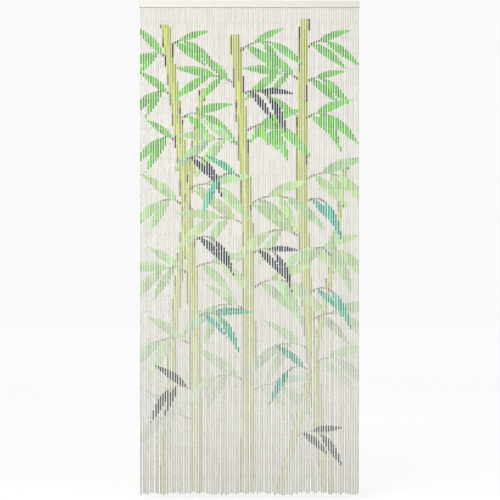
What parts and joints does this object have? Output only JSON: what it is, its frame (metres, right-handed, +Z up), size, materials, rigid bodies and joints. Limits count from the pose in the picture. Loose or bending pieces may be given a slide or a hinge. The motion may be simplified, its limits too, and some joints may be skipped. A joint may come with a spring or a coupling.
{
  "type": "bamboo door curtain with headrail",
  "caption": "Door curtain of straight strands of slim bamboo beads, printed with green stems and leafy sprigs, hanging from a plain off-white wooden headrail.",
  "frame": {"origin": "middle of the headrail's back face, where the curtain meets the wall or the door frame", "axes": "+Z up, +X to the right seen from the front, +Y into the wall; the printed front faces -Y"},
  "size_m": [0.9, 0.012, 2.0202],
  "materials": {
    "headrail": "off-white painted batten, satin",
    "bamboo_beads": "bleached bamboo, printed, low sheen"
  },
  "bodies": {
    "root": {"headrail": "headrail", "strands": "bamboo_beads"}
  },
  "joints": []
}
